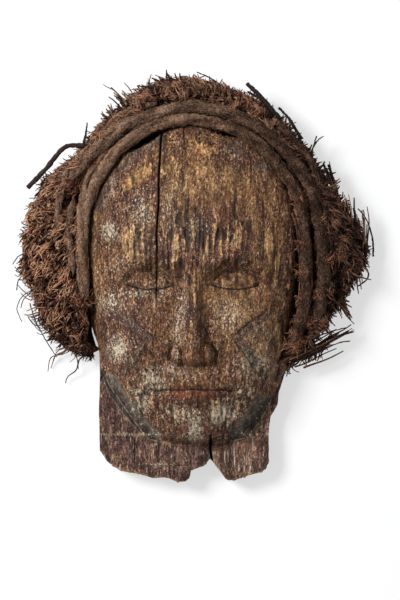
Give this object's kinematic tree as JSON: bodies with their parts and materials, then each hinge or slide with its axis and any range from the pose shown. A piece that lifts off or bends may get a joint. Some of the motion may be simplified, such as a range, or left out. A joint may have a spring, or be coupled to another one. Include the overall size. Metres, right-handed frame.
{
  "type": "carved wooden mask",
  "caption": "Small hollow wooden face mask with closed eyes, a broken neck board, twisted cords round the face and a matted fibre wig, lying face up.",
  "frame": {"origin": "middle of the part's outline, on the flat back rim that it lies on", "axes": "+X to the viewer's right across the face, +Y from the chin to the crown, +Z out of the face"},
  "size_m": [0.1738, 0.203, 0.0453],
  "materials": {
    "carved_wood": "weathered dark brown wood with worn ochre patches and traces of white and red earth",
    "wig_fibre": "matted dark red-brown plant fibre",
    "cord_fibre": "twisted dusty brown plant fibre"
  },
  "bodies": {
    "root": {"wooden_mask": "carved_wood", "fibre_wig": "wig_fibre", "inner_cord": "cord_fibre", "outer_cord": "cord_fibre"}
  },
  "joints": []
}
